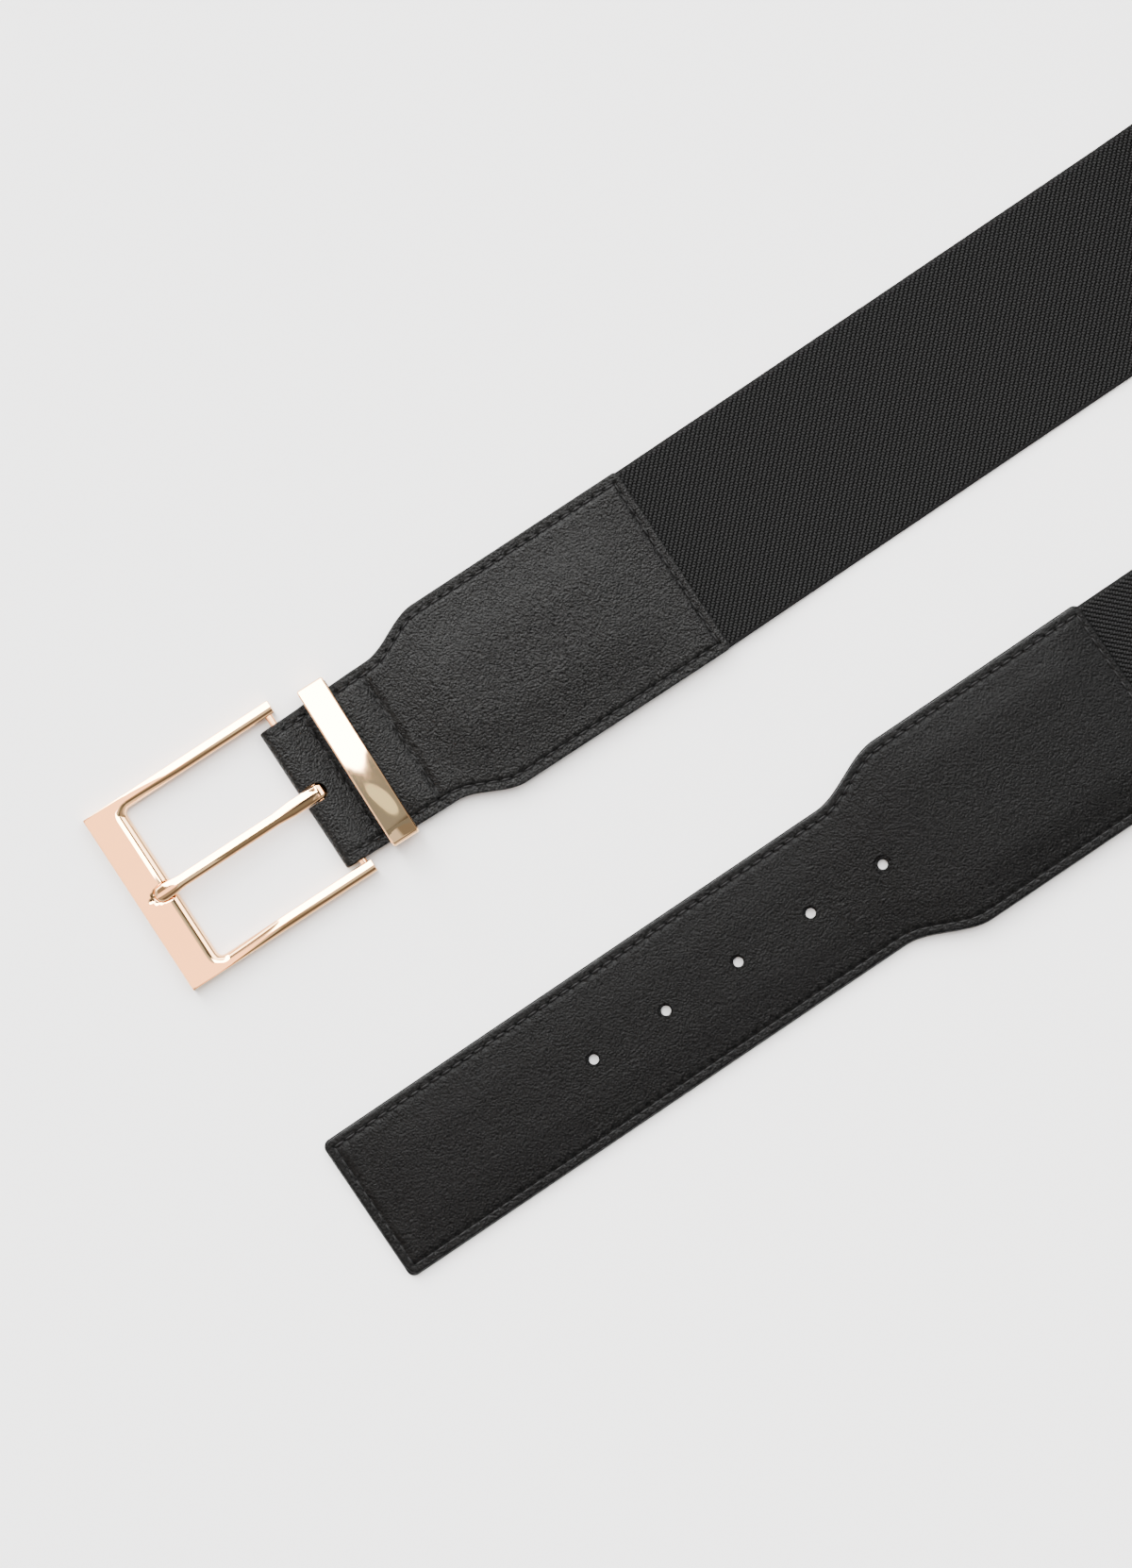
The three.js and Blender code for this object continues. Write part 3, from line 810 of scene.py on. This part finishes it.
def turn_value(what, share):
    return sum(part * smooth(share, a, b) for name, a, b, part in TURN_CHANGES if name == what)


def turn_route(coarse=64, fine=256):
    """Middle points and left directions round the turn, as the part's source sets them."""

    def height(share):
        roll = math.pi * turn_value("roll", share)
        return (
            turn_value("lift", share) * ELASTIC_WIDTH
            + ELASTIC_WIDTH / 2 * np.sin(roll)
            + ELASTIC_THICKNESS / 2 * np.abs(np.cos(roll))
        )

    share = np.linspace(0, 1, coarse + 1)
    step = TURN / coarse
    z = height(share)
    advance = np.sqrt(np.maximum(step**2 - np.diff(z) ** 2, 0))
    heading = -math.pi * turn_value("heading", share[:-1] + 0.5 / coarse)
    x = np.concatenate([[0], np.cumsum(advance * np.cos(heading))])
    y = np.concatenate([[0], np.cumsum(advance * np.sin(heading))])
    y = y + (-STRAP_SPACING - y[-1]) * smooth(share, 0, 1)
    start = (ELASTIC_EXPOSED - TURN + TIP_MOUTH - x[-1]) / 2
    fine_share = np.linspace(0, 1, fine + 1)
    at = np.stack([spline(share, v, fine_share) for v in (x, y, z)], 1)
    along = np.gradient(at, axis=0)
    along[0] = (1, 0, 0)
    along /= np.linalg.norm(along, axis=1)[:, None]
    level = np.cross([0, 0, 1], along)
    level /= np.linalg.norm(level, axis=1)[:, None]
    upward = np.cross(along, level)
    roll = math.pi * turn_value("roll", fine_share)[:, None]
    return at + np.array([start, 0, 0]), level * np.cos(roll) + upward * np.sin(roll), start, x[-1]


def spline(x, y, at):
    """Smooth curve through evenly spaced values (Catmull-Rom)."""
    step = x[1] - x[0]
    i = np.clip(((at - x[0]) / step).astype(int), 0, len(x) - 2)
    t = (at - x[0]) / step - i
    padded = np.concatenate([[2 * y[0] - y[1]], y, [2 * y[-1] - y[-2]]])
    p0, p1, p2, p3 = (padded[i + k] for k in range(4))
    return 0.5 * (
        2 * p1 + (p2 - p0) * t + (2 * p0 - 5 * p1 + 4 * p2 - p3) * t**2 + (3 * (p1 - p2) + p3 - p0) * t**3
    )


def build_elastic():
    middle = BACK_PLY + GAP + ELASTIC_THICKNESS / 2
    flat = ELASTIC_THICKNESS / 2
    lean = turned([(0, 1, 0)], -TAB_LEAN)[0]
    at, left, half = [], [], []
    for back in np.linspace(PAD_END - GAP, 2, 40):
        at.append(turned([(-back, 0, middle)], -TAB_LEAN)[0])
        left.append(lean)
        half.append(min(ELASTIC_WIDTH / 2, float(tab_half(np.array(back))) - GAP))
    around, around_left, start, reach = turn_route()
    for x in np.arange(0, start, 1.5):
        at.append((x, 0, mix(middle, flat, smooth(x, 0, SETTLE))))
        left.append((0, 1, 0))
        half.append(ELASTIC_WIDTH / 2)
    for a, b in zip(around, around_left):
        at.append(a)
        left.append(b)
        half.append(ELASTIC_WIDTH / 2)
    end = start + reach
    for x in np.arange(end - 1.5, TIP_MOUTH - ELASTIC_IN_TIP, -1.5):
        at.append((x, -STRAP_SPACING, mix(middle, flat, smooth(x, TIP_MOUTH, TIP_MOUTH + SETTLE))))
        left.append((0, 1, 0))
        half.append(ELASTIC_WIDTH / 2)
    at, left, half = np.array(at, float), np.array(left, float), np.array(half)
    along = np.gradient(at, axis=0)
    along /= np.linalg.norm(along, axis=1)[:, None]
    normal = np.cross(along, left)
    normal /= np.linalg.norm(normal, axis=1)[:, None]
    run = np.concatenate([[0], np.cumsum(np.linalg.norm(np.diff(at, axis=0), axis=1))])
    edge_steps = np.array([0, 0.03, 0.12, 0.26, 0.45, 0.75, 1.2, 2.0])
    full = ELASTIC_WIDTH / 2
    inside = np.linspace(full - edge_steps[-1], 0, 15)[1:]
    right = np.concatenate([full - edge_steps, inside]) / full
    share = np.concatenate([right, -right[-2::-1]])
    y = share[None, :] * half[:, None]
    ends = np.minimum(run - run[0], run[-1] - run)[:, None]
    thick = ELASTIC_THICKNESS / 2 * rounding(np.minimum(half[:, None] - np.abs(y), ends + 0 * y), 0.45)
    thick = thick - 0.1 * (1 - smooth(half[:, None] - np.abs(y), 0.9, 1.3)) * (thick > 0.3)
    centre = at[:, None, :] + y[..., None] * left[:, None, :]
    outer = centre + thick[..., None] * normal[:, None, :]
    inner = centre - thick[..., None] * normal[:, None, :]
    shift = np.array([mouth_x, buckle_y, 0])
    uv = np.stack([np.repeat(run[:, None], len(share), 1), share[None, :] * full + 0 * y], -1)
    obj = shell("elastic_strap", outer + shift, inner + shift, WEBBING, uv=uv, sharp=60)
    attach(obj, "belt")
    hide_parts("elastic_band")


# Metal


def gold_piece(obj, body, node_name):
    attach(obj, body)
    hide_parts(node_name)


def frame_section(width, in_x, in_z, out_x, out_z, tall=FRAME_HEIGHT, low=0.3):
    """Points (across, up) of a section from its inner face over the top and back underneath."""
    top = [(in_x * (1 - c), tall - in_z * (1 - s)) for c, s in arc(0, 90, 15)]
    top += [(t, tall) for t in np.linspace(in_x, width - out_x, 8)[1:-1]]
    top += [(width - out_x * (1 - c), tall - out_z * (1 - s)) for c, s in arc(90, 0, 15)]
    under = [(width - low * (1 - c), low * (1 - s)) for c, s in arc(0, 90, 5)]
    under += [(low * (1 - c), low * (1 - s)) for c, s in arc(90, 0, 5)]
    return np.array(top + under)


def build_frame():
    arm = (FRAME_WIDTH - WINDOW) / 2
    inner_half = WINDOW / 2
    corner = 1.8
    rise = BAR_HEIGHT - FRAME_HEIGHT / 2
    bar_x = FRAME_LENGTH - BAR_INSET
    rings = []

    def ring(inner, outer, section):
        inner, outer = np.array(inner, float), np.array(outer, float)
        width = np.linalg.norm(outer - inner)
        t = section[:, 0] / width
        xy = inner[None, :] + t[:, None] * (outer - inner)[None, :]
        z = section[:, 1] + rise * xy[:, 0] / bar_x
        # the prong's seat in the front bar
        dent = 1 - ((xy[:, 0] - FRONT_BAR) / 6.2) ** 2 - ((xy[:, 1] + FRAME_DRIFT) / 2.9) ** 2
        seat = FRAME_HEIGHT - 1.05 * np.sqrt(np.maximum(dent, 0))
        z = np.where(dent > 0, np.minimum(z, np.maximum(seat, 1.0)), z)
        rings.append(np.stack([xy[:, 0], xy[:, 1], z], 1))

    def arm_section(x):
        t = float(smooth(x, 12, 34))
        inner = (mix(2.1, arm / 2, t), mix(2.2, 0.9, t))
        outer = (mix(0.55, arm / 2, t), mix(0.5, 0.9, t))
        return frame_section(arm, *inner, *outer)

    rear = FRAME_LENGTH - np.array([0.12, 0.3, 0.5])
    along = np.concatenate([rear, np.arange(62, FRONT_BAR + corner, -1.5)])
    # rear end of the first arm, its edge rounded
    full = arm_section(FRAME_LENGTH)
    centre = np.array([arm / 2, 2.4])
    for inset, x in ((0.3, FRAME_LENGTH), (0.15, FRAME_LENGTH - 0.03), (0.05, FRAME_LENGTH - 0.1)):
        shrunk = centre + (full - centre) * (1 - inset / 2)
        ring_points = np.array([shrunk[:, 0] / arm, shrunk[:, 1]]).T
        y = inner_half + ring_points[:, 0] * arm
        z = ring_points[:, 1] + rise * x / bar_x
        rings.append(np.stack([np.full(len(y), x), y, z], 1))
    for x in along:
        ring((x, inner_half), (x, inner_half + arm), arm_section(x))
    # first corner: the section swings from across the arm to across the front bar
    outer_corner_y = FRAME_WIDTH / 2
    for share in np.linspace(0, 1, 17):
        a = math.radians(90 * share)
        inner_point = (
            FRONT_BAR + corner - corner * math.sin(a),
            inner_half - corner + corner * math.cos(a),
        )
        if share <= 0.5:
            outer_point = (mix(FRONT_BAR + corner, 0.0, share * 2), outer_corner_y)
        else:
            outer_point = (0.0, mix(outer_corner_y, inner_half - corner, share * 2 - 1))
        width = math.dist(inner_point, outer_point)
        section = frame_section(width, mix(2.1, 2.25, share), mix(2.2, 2.25, share), 0.45, 0.4)
        ring(inner_point, outer_point, section)
    first = list(rings)
    # the front bar, with more points round the prong's seat
    wide = [np.arange(-22, -4.9, 1.2), np.arange(-4.6, 3.0, 0.2), np.arange(3.4, 22.5, 1.2)]
    for y in np.concatenate(wide)[::-1]:
        ring((FRONT_BAR, y), (0, y), frame_section(FRONT_BAR, 2.25, 2.25, 0.45, 0.4))
    # second corner and arm, mirrored from the first
    for r in first[::-1]:
        rings.append(r * np.array([1, -1, 1]))
    rings = np.array(rings)
    place = np.array([-BAR_BACK + BAR_INSET - FRAME_LENGTH, FRAME_DRIFT, 0])
    obj = loft("frame_gold", at_buckle_end(rings + place), GOLD, sharp=50)
    gold_piece(obj, "buckle", "buckle_frame")


def lathe_y(profile, sides=48):
    """Rings round the Y axis from (y, radius) pairs."""
    angles = np.linspace(0, 2 * math.pi, sides, endpoint=False)
    return np.array([[(r * math.sin(a), y, r * math.cos(a)) for a in angles] for y, r in profile])


def build_bar():
    reach = WINDOW / 2 + 2.3
    end = BAR_RADIUS - 0.2
    profile = [(-reach, end), (-reach + 0.2, BAR_RADIUS), (reach - 0.2, BAR_RADIUS), (reach, end)]
    place = np.array([-BAR_BACK, FRAME_DRIFT, BAR_HEIGHT])
    obj = loft("bar_gold", at_buckle_end(lathe_y(profile) + place), GOLD)
    gold_piece(obj, "buckle", "buckle_bar")


def build_prong():
    length, root, width, tip = 55.1, 4.7, 3.8, 4.7
    tall, lift, ring_r, hole = 2.4, 1.1, 2.5, 1.4
    crown, bulge = 0.75, 2.3
    sections = np.array(
        [
            (0.0, root * 0.96, 1.0, 0.0),
            (0.05, root, 1.0, 0.08),
            (0.1, root, 1.0, 0.16),
            (0.16, root, 1.0, 0.25),
            (0.21, 4.25, 1.0, 0.33),
            (0.26, width, 1.0, 0.4),
            (0.6, width, 1.0, 0.8),
            (0.84, width, 1.0, 1.0),
            (0.87, 4.1, 1.0, 1.0),
            (0.9, 4.55, 1.0, 1.0),
            (0.93, tip, 0.98, 1.0),
            (0.955, tip, 0.95, 1.03),
            (0.975, tip * 0.93, 0.86, 1.08),
            (0.988, tip * 0.78, 0.68, 1.14),
            (0.996, tip * 0.5, 0.42, 1.22),
            (1.0, tip * 0.16, 0.14, 1.3),
        ]
    )
    rings = []
    angles = np.linspace(0, 2 * math.pi, 40, endpoint=False)
    for share, w, h, up in sections:
        x = -share * length
        z = ring_r - tall / 2 + up * lift
        ring = []
        for a in angles:
            c, s = math.cos(a), math.sin(a)
            side = w / 2 * np.sign(c) * abs(c) ** (2 / bulge)
            # a low crown above straight sides, and a rounder belly
            if s > 0:
                rise = s * crown + (tall / 2 - crown)
            else:
                rise = np.sign(s) * abs(s) ** (2 / bulge) * tall / 2
            ring.append((x, side, z + h * rise))
        rings.append(ring)
    rings = np.array(rings)
    place = np.array([-BAR_BACK, 0, BAR_HEIGHT])
    obj = loft("prong_gold", at_buckle_end(rings + place), GOLD, sharp=60)
    # the ring round the bar, joined to the prong
    edge = 1.05
    profile = [(-root / 2, hole)]
    profile += [(-root / 2 + edge * (1 - c), ring_r - edge * (1 - s)) for c, s in arc(0, 90, 10)]
    other = [(-y, r) for y, r in profile[::-1]]
    profile = profile + other
    ring = lathe_y(profile, 64)
    rows, columns = ring.shape[:2]
    faces = grid_faces(rows, columns, around=True)
    last = (rows - 1) * columns
    for i in range(columns):
        after = (i + 1) % columns
        faces.append([after, i, last + i, last + after])
    eye = mesh_object("prong_eye", at_buckle_end(ring + place).reshape(-1, 3), faces, GOLD, weld=0)
    bpy.context.view_layer.objects.active = obj
    union = obj.modifiers.new("join", "BOOLEAN")
    union.operation = "UNION"
    union.solver = "EXACT"
    union.object = eye
    bpy.ops.object.modifier_apply(modifier=union.name)
    bpy.data.objects.remove(eye, do_unlink=True)
    bore = loft("bore", at_buckle_end(lathe_y([(-4, hole), (4, hole)], 64) + place), GOLD, weld=0)
    cut(obj, [bore])
    obj.data.set_sharp_from_angle(angle=math.radians(50))
    gold_piece(obj, "prong", "prong")


def build_keeper():
    width, tall, wall, corner, depth, low = 52.3, 7.5, 1.2, 1.3, 8.5, 1.6
    half_w, half_t = width / 2, tall / 2
    path = []
    for cx, cz, start in (
        (half_w - corner, half_t - corner, 0),
        (corner - half_w, half_t - corner, 90),
        (corner - half_w, corner - half_t, 180),
        (half_w - corner, corner - half_t, 270),
    ):
        for a in np.linspace(start, start + 90, 9):
            n = (math.cos(math.radians(a)), math.sin(math.radians(a)))
            path.append(((cx + corner * n[0], cz + corner * n[1]), n))
        # points along the straight to the next corner
        if start in (0, 180):
            way = 1 if start == 0 else -1
            for t in np.linspace(0, 1, 14)[1:-1]:
                y = mix(half_w - corner, corner - half_w, t) * way
                path.append(((y, half_t * way), (0, way)))
    bevel = 0.42
    h = depth / 2
    section = [(-h, -wall + 0.15), (-h, -bevel * 0.9)]
    section += [(-h + bevel * 0.12, -bevel * 0.75), (-h + bevel * 0.85, -0.05)]
    section += [(x, -0.0) for x in np.linspace(-h + bevel, h - bevel, 9)]
    section += [(h - bevel * 0.85, -0.05), (h - bevel * 0.12, -bevel * 0.75)]
    section += [(h, -bevel * 0.9), (h, -wall + 0.15)]
    section += [(h - 0.15, -wall), (-h + 0.15, -wall)]
    rings = []
    for (y, z), (ny, nz) in path:
        # the upper face is very slightly domed
        camber = 0.02 if nz > 0.99 else 0.0
        ring = []
        for x, o in section:
            sunk = camber * (x / h) ** 2 * (o > -0.2)
            ring.append((x, y + ny * o, z + half_t + low + nz * (o - sunk)))
        rings.append(ring)
    rings = np.array(rings)
    rows, columns = rings.shape[:2]
    points = rings.reshape(-1, 3)
    faces = grid_faces(rows, columns, around=True)
    last = (rows - 1) * columns
    faces += [[last + j, last + (j + 1) % columns, (j + 1) % columns, j] for j in range(columns)]
    placed = turned(points, -KEEPER_SKEW, (-KEEPER_BACK, FRAME_DRIFT, 0))
    obj = mesh_object("keeper_gold", at_buckle_end(placed), faces, GOLD, sharp=20)
    gold_piece(obj, "keeper", "keeper_loop")


build_tab_front()
build_tab_back()
build_tab_stitches()
build_tip()
build_tip_stitches()
build_elastic()
build_frame()
build_bar()
build_prong()
build_keeper()


# Floor, light and camera


# The photo shows the belt from straight above, turned, at so many of its pixels to the millimetre
PIXELS_PER_MM = 3.7
PHOTO_HEIGHT = 1662 / PIXELS_PER_MM
PHOTO_TURN = -34.0
LENS = 100
SENSOR = 36
FACE_HEIGHT = 0.003
view_x, view_y = -119.87 * MM, 16.03 * MM
camera_height = LENS / SENSOR * PHOTO_HEIGHT * MM + FACE_HEIGHT

camera_data = bpy.data.cameras.new("camera")
camera_data.lens = LENS
camera_data.sensor_width = SENSOR
camera_data.clip_end = 50
camera = bpy.data.objects.new("camera", camera_data)
camera.location = (view_x, view_y, camera_height)
camera.rotation_euler = (0, 0, math.radians(PHOTO_TURN))
bpy.context.scene.collection.objects.link(camera)
bpy.context.scene.camera = camera

floor_size = 6.0
floor_rows = 9
ticks = np.linspace(-floor_size / 2, floor_size / 2, floor_rows) / MM
fx, fy = np.meshgrid(ticks, ticks, indexing="ij")
floor_points = np.stack([fx, fy, np.full(fx.shape, -0.02)], -1).reshape(-1, 3)
floor = mesh_object("floor", floor_points, grid_faces(floor_rows, floor_rows), FLOOR)

# Slopes of the strip box and of the stand, and how bright each thing in the studio is
STRIP_MIDDLE = -0.036
STRIP_SIDES = (-0.0915, 0.11)
STRIP_END = 0.0285
STRIP_END_CURVE = 9
STRIP_END_REACH = 0.006
STAND_MIDDLE = 0.0212
STAND_SLANT = 1.6
STAND_HALF_SIZES = (0.011, 0.0052)
STRIP_BOX = 34
SIDE_BOX = 9
LOW_BOX = 11
PALE_WALL = 4.6
WARM = (1, 0.69, 0.52)
CEILING = 1.25


def studio_world():
    """Soft light from a studio: a long strip box, a side box, a wide pale wall and a dim ceiling.

    A direction is given by its slopes, how far it goes along X and along Y for each step up.
    """
    world = bpy.data.worlds.new("studio")
    bpy.context.scene.world = world
    world.use_nodes = True
    tree = world.node_tree
    way = tree.nodes.new("ShaderNodeTexCoord").outputs["Generated"]
    split = tree.nodes.new("ShaderNodeSeparateXYZ")
    tree.links.new(way, split.inputs[0])
    up = maths(tree, "MAXIMUM", split.outputs["Z"], 0.02)
    u = maths(tree, "DIVIDE", split.outputs["X"], up)
    v = maths(tree, "DIVIDE", split.outputs["Y"], up)

    def rising(value, start, end):
        made = node(tree, "ShaderNodeMapRange", interpolation_type="SMOOTHSTEP")
        tree.links.new(value, made.inputs["Value"])
        made.inputs["From Min"].default_value = start
        made.inputs["From Max"].default_value = end
        return made.outputs["Result"]

    def within(value, low, high, soft):
        return maths(
            tree,
            "MULTIPLY",
            rising(value, low - soft / 2, low + soft / 2),
            maths(tree, "SUBTRACT", 1.0, rising(value, high - soft / 2, high + soft / 2)),
        )

    def both(a, b):
        return maths(tree, "MULTIPLY", a, b)

    def glow(level, tone=(1, 1, 1)):
        return tuple(level * part for part in tone)

    # the strip box ends in a round end a little off the zenith, and arches over to the horizon
    aside = maths(tree, "ADD", split.outputs["X"], -STRIP_MIDDLE)
    curve = maths(tree, "MULTIPLY", both(aside, aside), STRIP_END_CURVE)
    curve = maths(tree, "MINIMUM", curve, STRIP_END_REACH)
    end = maths(tree, "ADD", curve, STRIP_END)
    past_end = maths(tree, "SUBTRACT", v, end)
    strip = both(rising(past_end, 0, 0.0012), within(split.outputs["X"], *STRIP_SIDES, 0.003))
    # the camera over the object, with a paler stand beside it
    from_middle = maths(tree, "ADD", v, -STAND_MIDDLE)
    stand_u = maths(tree, "ADD", u, -STRIP_MIDDLE)
    stand_u = maths(tree, "MULTIPLY_ADD", from_middle, STAND_SLANT, stand_u)
    stand_u = maths(tree, "MULTIPLY", stand_u, 1 / STAND_HALF_SIZES[0])
    stand_v = maths(tree, "MULTIPLY", from_middle, 1 / STAND_HALF_SIZES[1])
    stand = maths(tree, "ADD", both(stand_u, stand_u), both(stand_v, stand_v))
    stand = maths(tree, "SUBTRACT", 1.0, rising(stand, 0.85, 1.1))
    grey, cool, straw = (1, 1.1, 1.15), (0.95, 1.2, 1.4), (0.95, 1.15, 1.05)
    layers = [
        # dim above the tip's side, pale again low down
        (within(v, -1.25, -0.02, 0.1), glow(0.55)),
        (both(within(u, -0.6, -0.105, 0.02), within(v, 0.12, 1.2, 0.1)), glow(0.4)),
        (both(within(u, -60, -0.085, 0.008), within(v, -0.06, 0.14, 0.04)), glow(PALE_WALL, WARM)),
        (both(within(u, -0.085, 0.28, 0.006), within(v, -0.36, 0.2, 0.05)), glow(0.3, grey)),
        (both(within(u, -0.085, -0.042, 0.006), within(v, -0.36, 0.2, 0.05)), glow(1.1, grey)),
        (both(within(u, -0.5, 0.3, 0.1), within(v, -1.15, -0.36, 0.08)), glow(0.2)),
        (both(within(u, -0.062, -0.006, 0.002), within(v, -0.01, 0.06, 0.004)), glow(0.4, cool)),
        (stand, glow(1.5, straw)),
        (both(within(u, -0.062, -0.006, 0.002), within(v, -0.01, 0.0138, 0.0008)), glow(0.12)),
        (both(within(u, -0.062, -0.006, 0.002), within(v, -0.01, 0.0122, 0.0006)), glow(0.29, cool)),
        (both(within(u, 0.28, 2.2, 0.03), within(v, -0.1, 0.9, 0.06)), glow(SIDE_BOX)),
        (both(within(u, -1.3, 1.3, 0.3), within(v, 1.0, 2.8, 0.3)), glow(LOW_BOX)),
        (strip, glow(STRIP_BOX)),
        (both(within(u, 0.0, 0.42, 0.02), within(v, -0.05, 0.09, 0.02)), glow(0.1)),
    ]
    shade = glow(CEILING)
    for mask, lit in layers:
        blend = node(tree, "ShaderNodeMix", data_type="RGBA")
        tree.links.new(mask, blend.inputs[0])
        if isinstance(shade, tuple):
            blend.inputs[6].default_value = (*shade, 1)
        else:
            tree.links.new(shade, blend.inputs[6])
        blend.inputs[7].default_value = (*lit, 1)
        shade = blend.outputs[2]
    background = tree.nodes["Background"]
    tree.links.new(shade, background.inputs["Color"])
    background.inputs["Strength"].default_value = 1.0


studio_world()
